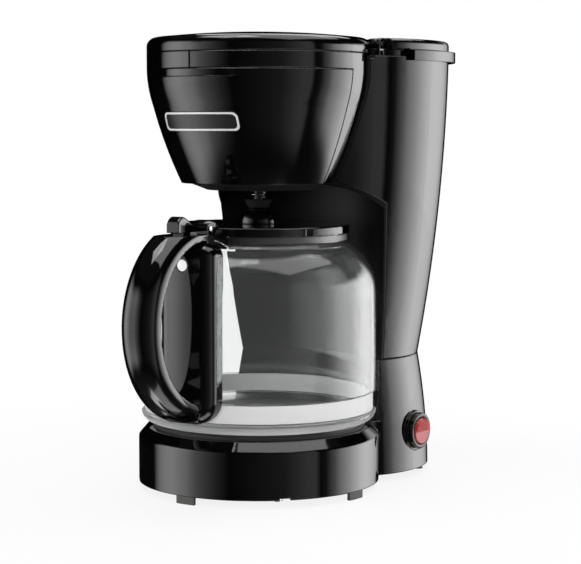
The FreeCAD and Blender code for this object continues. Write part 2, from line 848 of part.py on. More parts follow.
def make_brew_cover():
    """Cap of the brew head with a locating skirt inside the band."""
    low = band_top + seam
    high = low + skirt_flange
    cover = cover_shape(0, low).cut(cover_shape(wall, band_top))
    fit = brew_rim_radius - rear_inset - wall - gap
    skirt = ring(fit - wall, fit, band_top - skirt_depth, high)
    flange = ring(fit - wall, brew_rim_radius - wall / 2, low, high)
    half = arm_radius + wall
    arm_path = box(V(-half, 0, band_top - skirt_depth - cut_over), V(half, far, low))
    return fused([cover, skirt, flange]).cut(arm_path)


def make_reservoir_lid():
    """Crescent lid behind the brew head's cover, with a finger lip round its back half."""
    slab = cylinder(column_top_radius, lid_low, lid_top, column_axis)
    slab = slab.makeFillet(lid_edge_round, level_edges(slab, lid_top))
    lip_low = column_top_height - lid_lip_drop
    lip_high = lip_low + lid_lip_height
    neck_fit = column_top_radius - neck_inset + lid_lip_gap
    collar = ring(neck_fit, column_top_radius, column_top_height + gap, lid_low + cut_over, column_axis)
    shelf = ring(neck_fit, lid_lip_radius, column_top_height + gap, lip_high, column_axis)
    lip = ring(column_top_radius + lid_lip_gap, lid_lip_radius, lip_low, lip_high, column_axis)
    lip = fused([collar, shelf, lip])
    lip_end = 180 - lid_lip_half_angle
    lip = lip.common(sector(lip_end, 360 - lip_end, far, 0, above_all, column_back))
    plug_fit = column_top_radius - neck_inset - wall - gap
    plug_low = lid_low - lid_plug_depth
    plug = ring(plug_fit - lid_plug_width, plug_fit, plug_low, lid_low + cut_over, column_axis)
    plug = plug.common(sector(100, 260, far, 0, above_all, column_back))
    lid = fused([slab, lip, plug]).cut(cylinder(brew_rim_radius + seam, 0, above_all))
    front = lid_hinge_back + knuckle_radius + 2 * gap
    lid = lid.common(box(V(-far, front, 0), V(far, far, above_all)))
    knuckle_end = knuckle_start + knuckle_width
    tongue = box(V(knuckle_start, lid_hinge_back, lid_low + 1), V(knuckle_end, front + 1, lid_top - 1))
    barrel = knuckle(knuckle_start, knuckle_end, knuckle_radius - gap).fuse(tongue)
    lid = fused([lid] + both_sides(barrel))
    for hole in both_sides(knuckle(0, 2 * ear_start, hinge_pin_radius + pin_play)):
        lid = lid.cut(hole)
    return lid


def make_lid_hinge_pins():
    pin = knuckle(knuckle_start + seam, ear_start + knuckle_width, hinge_pin_radius)
    return Part.makeCompound(both_sides(pin))


def make_filter_basket():
    """Cup for the paper filter with a flat rim that slides on the rails."""
    floor = dish_low + basket_floor
    dish = basket_foot_radius - dish_taper
    cup = turned(outline([
        (0, dish_low), (dish, dish_low), (basket_foot_radius, brew_foot_height - gap),
        (basket_rim_radius, basket_rim_height), (basket_rim_radius - basket_wall, basket_rim_height),
        (basket_foot_radius - basket_wall, floor + basket_rise), (dish, floor), (0, floor)]))
    rim = brew_head(-wall - gap, basket_rim_height - basket_flange, basket_rim_height)
    rim = rim.common(box(V(-runner_half_width, -far, 0), V(runner_half_width, far, above_all)))
    rim = rim.common(cylinder(flange_radius, 0, above_all).fuse(front_opening(above_all)))
    rim = rim.cut(cylinder(basket_rim_radius - basket_wall / 2, 0, above_all))
    return fused([cup, rim]).cut(cylinder(valve_stem_radius + pin_play, 0, above_all))


def make_basket_front():
    """Outer front of the pull-out basket with its crescent finger lip and two lugs under the rim."""
    high = front_height - seam
    front = brew_body(0, brew_foot_height, high).cut(brew_body(-wall, 0, above_all))
    side = front_half_angle - math.degrees(seam / brew_rim_radius)
    front = front.common(sector(-side, side, far, 0, high))
    forward = brew_rim_radius + finger_lip_reach - finger_lip_radius
    crescent = cylinder(finger_lip_radius, high - finger_lip_height, high, V(0, -forward, 0))
    crescent = crescent.cut(brew_body(-wall / 2, 0, above_all))
    lug_high = basket_rim_height - basket_flange
    lug = box(V(lug_start, -far, lug_high - wall), V(lug_start + lug_width, -basket_rim_radius, lug_high))
    lug = lug.common(brew_body(-wall / 2, 0, above_all))
    return fused([front, crescent] + both_sides(lug))


def make_badge_plate():
    """Plain blank plate on the front, following its curve."""
    skin = brew_body(badge_thickness + badge_bond, brew_foot_height, front_height)
    skin = skin.cut(brew_body(badge_bond, 0, above_all))
    low = brew_foot_height + badge_rise - badge_width / 2
    return skin.common(front_plate(badge_length, low, low + badge_width, badge_corner, badge_corner))


def make_drip_valve():
    """Cup and stem that the carafe lifts, through the basket's floor."""
    cup = turned(outline([(0, valve_low), (valve_tip_radius, valve_low),
                          (valve_cup_radius, valve_top), (0, valve_top)]))
    high = dish_low + basket_floor + seal_rest + valve_seal_thickness + seam
    return fused([cup, cylinder(valve_stem_radius, valve_top - cut_over, high)])


def make_valve_seal():
    low = dish_low + basket_floor + seal_rest
    return ring(valve_stem_radius + pin_play, valve_seal_radius, low, low + valve_seal_thickness)


def make_valve_spring():
    """Coil round the stem between the valve's cup and the basket's floor, in half-turn arcs."""
    radius = valve_stem_radius + spring_clearance
    low = valve_top + valve_wire
    rise = (dish_low - valve_wire - low) / (2 * valve_turns)
    edges = []
    for i in range(2 * valve_turns):
        edges.append(arc(around(radius, 180 * i, low + i * rise),
                         around(radius, 180 * i + 90, low + (i + 0.5) * rise),
                         around(radius, 180 * i + 180, low + (i + 1) * rise)))
    path = Part.Wire(edges)
    first = path.Edges[0]
    start = first.valueAt(first.FirstParameter)
    section = Part.Wire(Part.makeCircle(valve_wire / 2, start, first.tangentAt(first.FirstParameter)))
    half_turn = 20
    beads = path.discretize(Number=2 * half_turn * valve_turns + 1)
    apart = min(a.distanceToPoint(b) for i, a in enumerate(beads) for b in beads[i + half_turn:])
    print("least gap between the spring's turns", round(apart - valve_wire, 2))
    return path.makePipeShell([section], True, False)


def make_switch_body():
    body = rod(switch_radius - switch_rim, switch_at - X_AXIS * switch_depth, switch_at)
    return body.cut(Part.makeSphere(rocker_radius + seam, rocker_at))


def make_switch_bezel():
    front = switch_at + X_AXIS * bezel_height
    bezel = rod(switch_radius, switch_at, front)
    bezel = bezel.makeFillet(bezel_round, [e for e in bezel.Edges if abs(e.BoundBox.XMin - front.x) < 0.01])
    return bezel.cut(rod(rocker_radius + gap, switch_at - X_AXIS, front + X_AXIS))


def make_switch_rocker():
    """Round rocker: a ball cut by two faces that meet on the pivot line, resting with its top out."""
    ball = Part.makeSphere(rocker_radius, rocker_at)
    ridge = rocker_at + X_AXIS * rocker_reach
    big = 4 * rocker_radius
    upper = box(ridge + V(0, -big, 0), ridge + V(big, big, big))
    lower = box(ridge + V(0, -big, -big), ridge + V(big, big, 0))
    upper.rotate(ridge, Y_AXIS, rocker_tilt)
    lower.rotate(ridge, Y_AXIS, -rocker_tilt)
    back = rocker_at.x - rocker_depth
    ball = ball.cut(upper).cut(lower).cut(box(V(0, 0, 0), V(back, far, far)))
    ball.rotate(rocker_at, Y_AXIS, rocker_tilt)
    return ball


def make_switch_terminals():
    """Two flat blades on the back of the switch."""
    blades = []
    for z in (-blade_spacing / 2, blade_spacing / 2):
        root = switch_at + V(-switch_depth, 0, z)
        reach = V(0, blade_width / 2, blade_thickness / 2)
        blades.append(box(root - reach - X_AXIS * blade_length, root + reach))
    return Part.makeCompound(blades)


def make_cord_gland():
    """Bush in the back wall that the mains lead would pass through."""
    flange = rod(gland_flange, gland_at(0), gland_at(gland_flange_thickness))
    sleeve = rod(gland_sleeve, gland_at(-gland_length), gland_at(0))
    return fused([flange, sleeve]).cut(rod(gland_bore, gland_at(-2 * gland_length), gland_at(gland_length)))


def glass_body(offset):
    """The outside of the glass grown by an offset, as a solid."""
    low = carafe_low - offset
    r = glass_radius + offset
    foot = V(glass_foot_radius + offset, 0, low)
    bead = V(r, 0, bead_top)
    centre = V(glass_radius - shoulder_radius, 0, shoulder_height)
    bend = shoulder_radius + offset
    top = centre + V(bend * math.cos(shoulder_turn), 0, bend * math.sin(shoulder_turn))
    middle = centre + V(bend * math.cos(shoulder_turn / 2), 0, bend * math.sin(shoulder_turn / 2))
    side = V(r, 0, shoulder_height)
    groove = groove_radius + offset
    neck = neck_radius + offset
    edges = straight([V(0, 0, low), foot])
    edges.append(bowed(foot, bead, glass_foot_bow))
    edges += straight([bead, V(groove, 0, groove_low), V(groove, 0, groove_high),
                       V(r, 0, groove_high + groove_slope), side])
    edges.append(arc(side, middle, top))
    edges += straight([top, V(neck, 0, neck_low + neck_blend), V(neck, 0, neck_top),
                       V(0, 0, neck_top), V(0, 0, low)])
    return turned(edges)


def make_carafe_glass():
    """Blown jug with a groove near its foot, a round shoulder and a short neck."""
    mouth = cylinder(neck_radius - glass_wall, neck_low, neck_top + cut_over)
    return glass_body(0).cut(glass_body(-glass_wall)).cut(mouth)


def make_carafe_band():
    inner = groove_radius + band_fit
    return ring(inner, inner + band_thickness, groove_low + gap, groove_high - gap)


def make_neck_band():
    inner = neck_radius + band_fit
    return ring(inner, inner + band_thickness, neck_low + neck_blend + seam, neck_top - seam)


def oval(half_wide, half_high, width):
    """Elliptic disc in the handle's plane in front of the carafe, of a given width across."""
    centre = V(-width / 2, -handle_centre, handle_middle)
    ends = sorted([V(0, -half_wide, 0), V(0, 0, half_high)], key=lambda end: -end.Length)
    curve = Part.Ellipse(centre + ends[0], centre + ends[1], centre)
    return Part.Face(Part.Wire(curve.toShape())).extrude(V(width, 0, 0))


def make_carafe_handle():
    """Open D-shaped grip, a knuckle guard along the glass and the bracket at the neck."""
    half = grip_width / 2
    grip = oval(handle_reach, handle_half_height, grip_width)
    grip = grip.makeFillet(grip_round, [e for e in grip.Edges if e.BoundBox.XLength < 0.01])
    eye = handle_half_height - grip_thickness
    grip = grip.cut(oval(handle_reach - grip_thickness, eye, 2 * grip_width))
    inner = [e for e in grip.Edges if e.BoundBox.XLength < 0.01 and e.BoundBox.ZLength < 2 * eye + gap]
    grip = grip.makeFillet(grip_inner_round, inner)
    grip = grip.common(box(V(-half, -far, 0), V(half, -neck_radius, bracket_top)))
    guard = front_plate(guard_width, guard_low, guard_high, guard_corner, guard_top_corner)
    guard = guard.common(cylinder(guard_front, 0, above_all))
    face = max(guard.Faces, key=lambda f: -f.BoundBox.YMin)
    guard = guard.makeFillet(guard_round, face.Edges)
    guard = guard.common(box(V(-far, -far, 0), V(far, guard_depth - guard_front, above_all)))
    front = guard_round - guard_front
    low = guard_high - bracket_depth
    bracket = box(V(-half, front, low), V(half, ear_radius - lid_pin_reach, bracket_top))
    strap = box(V(-neck_strap_width / 2, front, low), V(neck_strap_width / 2, 0, bracket_top))
    handle = fused([grip, guard, bracket, strap])
    neck_fit = neck_radius + band_fit + band_thickness + gap
    handle = handle.cut(glass_body(2 * gap)).cut(cylinder(neck_fit, 0, above_all))
    handle = handle.cut(cylinder(glass_radius + 2 * gap, 0, shoulder_height))
    handle = handle.cut(cylinder(carafe_lid_radius + seam, carafe_lid_low - seam, above_all))
    handle = handle.cut(screw_rod(handle_screw_radius + gap, -guard_thickness, handle_screw_head))
    handle = handle.cut(screw_rod(handle_screw_shank + pin_play, 0, 2 * guard_thickness))
    return fused([handle] + both_sides(lid_ear()))


def screw_rod(radius, start, end):
    """Cylinder on the handle screw's axis between two depths behind the guard's front."""
    return rod(radius, V(0, start - guard_front, screw_height), V(0, end - guard_front, screw_height))


def pin_rod(radius, half_length):
    """Cylinder on the carafe lid's hinge axis."""
    middle = V(0, -lid_pin_reach, lid_pin_height)
    return rod(radius, middle - X_AXIS * half_length, middle + X_AXIS * half_length)


def lid_ear():
    """Ear on the right of the bracket that holds the lid's hinge pin."""
    low = V(lever_width / 2 + seam, -lid_pin_reach - ear_radius, bracket_top - cut_over)
    high = V(grip_width / 2, -lid_pin_reach + ear_radius, lid_pin_height + ear_rise)
    ear = box(low, high)
    ear = ear.makeFillet(ear_round, [e for e in level_edges(ear, high.z) if e.BoundBox.YLength < 0.01])
    return ear.cut(pin_rod(lid_pin_radius + pin_play, grip_width))


def make_handle_screw():
    head = screw_rod(handle_screw_radius, 0, handle_screw_head)
    return fused([head, screw_rod(handle_screw_shank, 0, handle_screw_length)])


def make_lid_pin():
    return pin_rod(lid_pin_radius, grip_width / 2)


def make_carafe_lid():
    """Flat lid with a hole in the middle under the drip dome and a pouring notch in its edge."""
    disc = cylinder(carafe_lid_radius, carafe_lid_low, carafe_lid_top)
    disc = disc.makeFillet(lid_edge, level_edges(disc, carafe_lid_top))
    disc = disc.cut(cylinder(dome_radius - dome_wall, 0, above_all))
    half = math.degrees(lid_notch_width / 2 / carafe_lid_radius)
    notch = sector(-half, half, carafe_lid_radius + cut_over, 0, carafe_lid_low + lid_notch_height)
    notch = notch.cut(cylinder(carafe_lid_radius - lid_edge, 0, above_all))
    notch.rotate(V(0, 0, 0), Z_AXIS, lid_notch_angle)
    return disc.cut(notch)


def make_lid_seal():
    """Ring under the lid that closes the neck."""
    fit = neck_radius - glass_wall - gap
    return ring(fit - seal_width, fit, neck_low, carafe_lid_low)


def dome_shape(inset):
    foot = V(dome_radius - inset, 0, carafe_lid_top)
    crest = V(dome_crest_radius - inset / 2, 0, dome_top - inset)
    edges = [bowed(foot, crest, dome_bow)]
    edges += straight([crest, V(0, 0, crest.z), V(0, 0, foot.z), foot])
    return turned(edges)


def make_drip_dome():
    """Hollow dome on the lid with the hole that the coffee drips through."""
    return dome_shape(0).cut(dome_shape(dome_wall)).cut(cylinder(drip_hole_radius, 0, above_all))


def make_thumb_lever():
    """Waved arm from the lid over the hinge pin to the raised thumb tab."""
    side = -lever_width / 2
    low = carafe_lid_top
    under = low - lever_step
    foot = -carafe_lid_radius - seam
    end = -carafe_lid_radius - tab_reach
    root = V(side, lever_root - carafe_lid_radius, low)
    climb = V(side, root.y - lever_run, low + lever_rise)
    crest = V(side, ear_radius - lid_pin_reach, low + lever_crest)
    dip = V(side, -ear_radius - lid_pin_reach, low + lever_dip)
    top = V(side, end + tab_round, low + tab_height)
    tip = V(side, end, top.z - tab_drop)
    wave = Part.BSplineCurve()
    wave.interpolate([root, climb, crest, dip, top, tip])
    underside = straight([tip, V(side, end, under), V(side, foot, under), V(side, foot, low), root])
    lever = Part.Face(Part.Wire([wave.toShape()] + underside)).extrude(V(lever_width, 0, 0))
    rims = [e for e in lever.Edges if e.BoundBox.XLength < 0.01 and e.BoundBox.YLength > tab_reach]
    return lever.makeFillet(lever_round, rims).cut(pin_rod(lid_pin_radius + pin_play, grip_width))


machine = {
    "base_housing": make_base_housing, "base_plate": make_base_plate, "feet": make_feet,
    "base_screws": make_base_screws, "plate_gasket": make_plate_gasket, "warming_plate": make_warming_plate,
    "plate_stud": make_plate_stud, "heater_body": make_heater_body, "heating_element": make_heating_element,
    "heater_strap": make_heater_strap, "strap_nut": make_strap_nut, "thermostat": make_thermostat,
    "thermal_fuse": make_thermal_fuse, "feed_hose": make_feed_hose, "riser_hose": make_riser_hose,
    "hose_clips": make_hose_clips, "reservoir_housing": make_reservoir_housing,
    "reservoir_front": make_reservoir_front, "riser_tube": make_riser_tube, "spray_arm": make_spray_arm,
    "shower_head": make_shower_head, "brew_housing": make_brew_housing, "brew_cover": make_brew_cover,
    "lid_hinge_pins": make_lid_hinge_pins, "reservoir_lid": make_reservoir_lid,
    "filter_basket": make_filter_basket, "basket_front": make_basket_front, "badge_plate": make_badge_plate,
    "drip_valve": make_drip_valve, "valve_seal": make_valve_seal, "valve_spring": make_valve_spring,
    "switch_body": make_switch_body, "switch_bezel": make_switch_bezel, "switch_rocker": make_switch_rocker,
    "switch_terminals": make_switch_terminals, "cord_gland": make_cord_gland,
}
carafe = {
    "carafe_glass": make_carafe_glass, "carafe_band": make_carafe_band, "neck_band": make_neck_band,
    "carafe_handle": make_carafe_handle, "handle_screw": make_handle_screw, "lid_pin": make_lid_pin,
    "carafe_lid": make_carafe_lid, "lid_seal": make_lid_seal, "drip_dome": make_drip_dome,
    "thumb_lever": make_thumb_lever,
}

pieces = {name: make() for name, make in machine.items()}
for name, make in carafe.items():
    pieces[name] = make()
    pieces[name].rotate(V(0, 0, 0), Z_AXIS, carafe_turn)

front = min(point.y for point in pieces["carafe_handle"].tessellate(0.02)[0])
back = column_back + lid_lip_radius
centring = V(0, -(front + back) / 2, foot_height)
print("moved by", [round(c, 3) for c in centring])
os.makedirs("parts", exist_ok=True)
for name, shape in pieces.items():
    shape.translate(centring)
    shape.exportStep("parts/" + name + ".step")
    print(name, "solids", len(shape.Solids), "valid", shape.isValid(), "cm3", round(shape.Volume / 1000, 2))
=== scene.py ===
import bpy
import json
import math
from mathutils import Euler, Matrix, Vector


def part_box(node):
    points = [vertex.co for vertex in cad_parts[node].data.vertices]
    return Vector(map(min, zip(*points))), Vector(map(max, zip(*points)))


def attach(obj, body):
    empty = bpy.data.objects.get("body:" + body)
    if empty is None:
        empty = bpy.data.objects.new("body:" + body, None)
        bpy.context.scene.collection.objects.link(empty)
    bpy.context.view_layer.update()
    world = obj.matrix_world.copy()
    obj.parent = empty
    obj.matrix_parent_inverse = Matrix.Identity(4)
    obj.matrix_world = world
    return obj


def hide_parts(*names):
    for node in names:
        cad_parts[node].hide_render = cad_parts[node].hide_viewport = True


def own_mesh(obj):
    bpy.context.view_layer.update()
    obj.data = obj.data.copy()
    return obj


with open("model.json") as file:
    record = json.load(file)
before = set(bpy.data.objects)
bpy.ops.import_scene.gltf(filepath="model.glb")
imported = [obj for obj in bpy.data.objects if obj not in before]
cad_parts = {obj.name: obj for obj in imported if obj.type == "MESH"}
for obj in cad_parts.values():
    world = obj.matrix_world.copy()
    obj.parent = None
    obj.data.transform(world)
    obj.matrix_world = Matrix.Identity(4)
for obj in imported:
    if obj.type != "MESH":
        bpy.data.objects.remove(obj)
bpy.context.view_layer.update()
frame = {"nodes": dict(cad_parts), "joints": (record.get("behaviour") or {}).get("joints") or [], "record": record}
nodes = frame["nodes"]
slot_of = {row["node"]: row["material_slot"] for row in frame["record"]["subparts"]}

# The warming plate's axis, which the brew head and the carafe share.
plate_low, plate_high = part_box("warming_plate")
AXIS = Vector(((plate_low.x + plate_high.x) / 2, (plate_low.y + plate_high.y) / 2, 0.0))

# Distances from the axis between which the plate's coating goes from whole to worn.
WORN_FROM = 0.060
WORN_TO = 0.066

# Top of the bead round the glass's foot, just under the pale band, and the height over which the painted highlight
# on the foot fades in.
BAND_TO_BEAD = 0.0013
GLASS_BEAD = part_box("carafe_band")[0].z - BAND_TO_BEAD
BEAD_FADE = 0.002

# The bright frame on the badge: its corners, width, lift off the front, thickness and eased edge.
RIM_CORNER = 0.0034
RIM_WIDTH = 0.0012
RIM_LIFT = 0.0010
RIM_THICKNESS = 0.0008
RIM_EDGE = 0.0002
# It starts this far ahead of the badge, with this many points, and is cut into this many lengths to bend.
RIM_AHEAD = 0.03
RIM_POINTS = 40
RIM_LENGTHS = 20

# The photograph's camera, found by fitting the outline. Angles in degrees, lengths in metres, lens in mm.
CAMERA_AZIMUTH = 36.1481
CAMERA_DISTANCE = 1.2042
CAMERA_HEIGHT = 0.23886
CAMERA_YAW = -0.9954
CAMERA_PITCH = -4.8777
CAMERA_ROLL = 0.0655
CAMERA_LENS = 112.77
SENSOR_WIDTH = 36.0

# The place on the object that the lamps are turned to.
LAMP_AIM = Vector((0, 0.02, 0.17))

# The ring of side panels. It fades to its brim between two heights, and between lower ones on the right,
# where the right begins between two angles.
RING_RADIUS = 1.4
RING_MIDDLE = 0.65
RING_SIDES = 144
BRIM_FADE = (0.6, 1.05)
RIGHT_FADE = (0.35, 0.6)
RIGHT_BEGINS = (90.0, 100.8)

# Brightness of the side panels by the angle round the object from its front, positive to the right.
PANEL_STRENGTH = 4.6
PANELS = [
    (-180, 1.2), (-174, 0.6), (-170, 0.0), (-79, 0.0), (-70, 1.45), (-60, 2.4), (-51, 2.7), (-36, 2.1),
    (-25, 1.05), (-14, 0.55), (-3, 0.2), (8, 0.0), (20, 0.02), (46, 0.08), (60, 0.14), (70, 0.29),
    (83, 0.5), (90, 0.48), (94, 0.01), (101, 0.06), (111, 0.95), (117, 2.1), (127, 3.2), (135, 4.1),
    (146, 4.6), (154, 4.2), (165, 2.9), (173, 2.0), (180, 1.2),
]


class Wire:
    """A shader socket with arithmetic: each operator adds a Math node to the socket's tree."""

    def __init__(self, tree, socket):
        self.tree = tree
        self.socket = socket

    def node(self, kind, settings=None, inputs=None, output=0):
        """Adds a node, sets its settings first and then its sockets, and returns one of its outputs."""
        made = self.tree.nodes.new(kind)
        for key, value in (settings or {}).items():
            setattr(made, key, value)
        for key, value in (inputs or {}).items():
            self.plug(made.inputs[key], value)
        return Wire(self.tree, made.outputs[output])

    def other(self, output):
        """Another output of the node that this wire comes from."""
        return Wire(self.tree, self.socket.node.outputs[output])

    def plug(self, socket, value):
        """Links a wire to the socket, or sets the socket to a fixed value."""
        if isinstance(value, Wire):
            self.tree.links.new(value.socket, socket)
        else:
            socket.default_value = value

    def maths(self, operation, *values):
        return self.node("ShaderNodeMath", {"operation": operation}, dict(enumerate(values)))

    def __add__(self, other):
        return self.maths("ADD", self, other)

    def __rsub__(self, other):
        return self.maths("SUBTRACT", other, self)

    def __mul__(self, other):
        return self.maths("MULTIPLY", self, other)

    def vector_maths(self, operation, *values, output=0):
        return self.node("ShaderNodeVectorMath", {"operation": operation}, dict(enumerate(values)), output)

    def length(self):
        return self.vector_maths("LENGTH", self, output=1)

    def ramp(self, stops):
        """Grey level read off a row of (place, level) stops."""
        level = self.node("ShaderNodeValToRGB", {}, {"Fac": self})
        elements = level.socket.node.color_ramp.elements
        for place, _ in stops[2:]:
            elements.new(place)
        for element, (place, grade) in zip(elements, stops):
            element.position = place
            element.color = grey(grade)
        return level

    def clamp(self):
        """The value kept between 0 and 1."""
        return self.node("ShaderNodeClamp", {}, {"Value": self, "Min": 0.0, "Max": 1.0})

    def spread(self, low, high):
        """The value from low to high as this one goes from 0 to 1."""
        return self * (high - low) + low

    def step(self, start, end, first=0.0, last=1.0, kind="SMOOTHSTEP"):
        """The value from first to last as this one goes from start to end, and no further."""
        return self.node("ShaderNodeMapRange", {"interpolation_type": kind}, {
            "Value": self, "From Min": start, "From Max": end, "To Min": first, "To Max": last})

    def mix(self, factor, first, second):
        """Two shaders mixed by the factor."""
        return self.node("ShaderNodeMixShader", {}, {0: factor, 1: first, 2: second})


class Finish:
    """A material with its Principled shader, object coordinates and the patterns that finishes share."""

    def __init__(self, name):
        self.material = bpy.data.materials.new(name)
        self.material.use_nodes = True
        self.tree = self.material.node_tree
        self.shader = self.tree.nodes["Principled BSDF"]
        self.wire = Wire(self.tree, self.shader.outputs[0])
        self.place = self.wire.node("ShaderNodeTexCoord", output="Object")

    def noise(self, scale, detail=3.0, roughness=0.55, stretch=None):
        place = self.place
        if stretch:
            place = self.wire.node("ShaderNodeMapping", {}, {"Vector": place, "Scale": stretch})
        return self.wire.node("ShaderNodeTexNoise", {}, {
            "Vector": place, "Scale": scale, "Detail": detail, "Roughness": roughness})

    def specks(self, scale, level, width=0.04):
        """Small sparse grains, 1 inside a grain and 0 elsewhere."""
        return self.noise(scale, 2.0, 0.6).step(level, level + width, kind="LINEAR")

    def blend(self, factor, first, second):
        return self.wire.node("ShaderNodeMix", {"data_type": "RGBA"}, {
            "Factor": factor, 6: first, 7: second}, output=2)

    def bump(self, height, strength, distance, edge=0.0):
        """Relief on the surface, over edges that are eased by a small radius."""
        inputs = {"Height": height, "Strength": strength, "Distance": distance}
        if edge:
            inputs["Normal"] = self.wire.node("ShaderNodeBevel", {"samples": 6}, {"Radius": edge})
        return self.wire.node("ShaderNodeBump", {}, inputs)

    def set(self, **values):
        """Sets the shader's sockets, named with _ for a space, and returns the material."""
        for key, value in values.items():
            self.wire.plug(self.shader.inputs[key.replace("_", " ")], value)
        return self.material


def grey(level, warm=0.0):
    return (level * (1 + warm), level, level * (1 - warm), 1.0)


def polished_black(name, smoothest, roughest, index):
    """Injection-moulded black: flow tone, faint hairlines, sparse dust and slight orange peel."""
    f = Finish(name)
    flow = f.noise(9.0, 2.0)
    hairs = f.noise(60.0, 4.0, 0.7, stretch=(1.0, 1.0, 9.0))
    dust = f.specks(900.0, 0.76)
    tone = f.blend(flow, grey(0.0008), grey(0.0022))
    tone = f.blend(dust * 0.15, tone, grey(0.12, 0.02))
    rough = hairs.spread(smoothest, roughest) + dust * 0.2
    peel = f.noise(260.0, 2.0)
    return f.set(Base_Color=tone, Roughness=rough.clamp(), IOR=index,
                 Normal=f.bump(peel, 0.025, 0.0004, edge=0.0011))


def satin_black():
    """Fine spark-eroded black of the inner mouldings."""
    f = Finish("satin_black")
    grain = f.noise(1800.0, 3.0, 0.65)
    drift = f.noise(14.0, 2.0)
    tone = f.blend(drift, grey(0.014), grey(0.026))
    return f.set(Base_Color=f.blend(f.specks(700.0, 0.72) * 0.3, tone, grey(0.12, 0.03)),
                 Roughness=grain.spread(0.34, 0.58), Normal=f.bump(grain, 0.25, 0.0003))


def bezel_black():
    """Black switch ring, a little lighter than the housing, with eased edges."""
    f = Finish("bezel_black")
    drift = f.noise(40.0, 3.0)
    peel = f.noise(700.0, 2.0)
    return f.set(Base_Color=f.blend(drift, grey(0.003), grey(0.007)), Roughness=drift.spread(0.06, 0.12),
                 Normal=f.bump(peel, 0.05, 0.0003, edge=0.0018), IOR=1.4)


def soft_rubber(name, darkest, palest):
    """Dull rubber with bloom and grime."""
    f = Finish(name)
    bloom = f.noise(45.0, 4.0, 0.7)
    grain = f.noise(1500.0, 2.0)
    return f.set(Base_Color=f.blend(bloom, grey(darkest), grey(palest, 0.03)),
                 Roughness=bloom.spread(0.5, 0.75), Normal=f.bump(grain, 0.3, 0.0004))


def milky_silicone():
    """Cloudy silicone of the inside hoses."""
    f = Finish("milky_silicone")
    cloud = f.noise(30.0, 3.0)
    fine = f.noise(800.0, 2.0)
    return f.set(Base_Color=f.blend(cloud, (0.66, 0.64, 0.58, 1), (0.80, 0.79, 0.74, 1)),
                 Roughness=cloud.spread(0.35, 0.5), Normal=f.bump(fine, 0.1, 0.0003), Subsurface_Weight=0.15)


def plate_coating():
    """Dark non-stick coating, slightly mottled, worn a little lighter towards its edge."""
    f = Finish("plate_coating")
    mottle = f.noise(320.0, 4.0, 0.65)
    drift = f.noise(18.0, 2.0)
    away = f.wire.vector_maths("SUBTRACT", f.place, AXIS)
    flat = f.wire.vector_maths("MULTIPLY", away, (1.0, 1.0, 0.0))
    worn = flat.length().step(WORN_FROM, WORN_TO) * 0.35
    tone = f.blend(mottle, grey(0.005), grey(0.013))
    tone = f.blend(worn * drift, tone, grey(0.06, 0.02))
    return f.set(Base_Color=tone, Roughness=mottle.spread(0.3, 0.5), Normal=f.bump(mottle, 0.12, 0.0003),
                 IOR=1.33)


def cast_aluminium():
    """Sand-grey casting skin."""
    f = Finish("cast_aluminium")
    skin = f.noise(420.0, 4.0, 0.65)
    drift = f.noise(30.0, 3.0)
    return f.set(Base_Color=f.blend(drift, grey(0.42), grey(0.62)), Metallic=1.0,
                 Roughness=skin.spread(0.42, 0.62), Normal=f.bump(skin, 0.35, 0.0006))


def bright_steel():
    """Rolled stainless with lines along the strip."""
    f = Finish("bright_steel")
    lines = f.noise(420.0, 3.0, 0.6, stretch=(0.05, 0.05, 3.0))
    smear = f.noise(35.0, 3.0)
    tone = f.blend(lines, grey(0.62), grey(0.86))
    return f.set(Base_Color=f.blend(smear * 0.3, tone, grey(0.70, 0.015)), Metallic=1.0,
                 Roughness=lines.spread(0.16, 0.3), Normal=f.bump(lines, 0.06, 0.0003))


def dull_steel():
    """Blasted grey steel of the band round the neck."""
    f = Finish("dull_steel")
    grain = f.noise(700.0, 4.0, 0.65)
    drift = f.noise(28.0, 2.0)
    return f.set(Base_Color=f.blend(drift, grey(0.15), grey(0.23)), Metallic=1.0,
                 Roughness=grain.spread(0.42, 0.56), Normal=f.bump(grain, 0.1, 0.0003))


def carafe_trim():
    """Pale lacquered strip round the foot of the glass."""
    f = Finish("carafe_trim")
    drift = f.noise(24.0, 3.0)
    fine = f.noise(900.0, 2.0)
    return f.set(Base_Color=f.blend(drift, grey(0.70), grey(0.80)), Roughness=drift.spread(0.4, 0.55),
                 Normal=f.bump(fine, 0.06, 0.0003))


def terminal_brass():
    """Brass with spots of tarnish."""
    f = Finish("terminal_brass")
    tarnish = f.noise(180.0, 4.0)
    return f.set(Base_Color=f.blend(tarnish, (0.80, 0.60, 0.26, 1), (0.52, 0.36, 0.14, 1)), Metallic=1.0,
                 Roughness=tarnish.spread(0.2, 0.45), Normal=f.bump(tarnish, 0.1, 0.0003))


def thermostat_resin():
    """Mottled brown moulding resin."""
    f = Finish("thermostat_resin")
    mottle = f.noise(260.0, 4.0)
    return f.set(Base_Color=f.blend(mottle, (0.05, 0.034, 0.02, 1), (0.11, 0.08, 0.05, 1)),
                 Roughness=mottle.spread(0.4, 0.6), Normal=f.bump(mottle, 0.2, 0.0004))


def rocker_red():
    """Cloudy translucent red."""
    f = Finish("rocker_red")
    cloud = f.noise(90.0, 3.0)
    fine = f.noise(900.0, 2.0)
    return f.set(Base_Color=f.blend(cloud, (0.34, 0.022, 0.02, 1), (0.50, 0.05, 0.045, 1)),
                 Roughness=cloud.spread(0.16, 0.28), Normal=f.bump(fine, 0.08, 0.0003),
                 IOR=1.38, Subsurface_Weight=0.1)


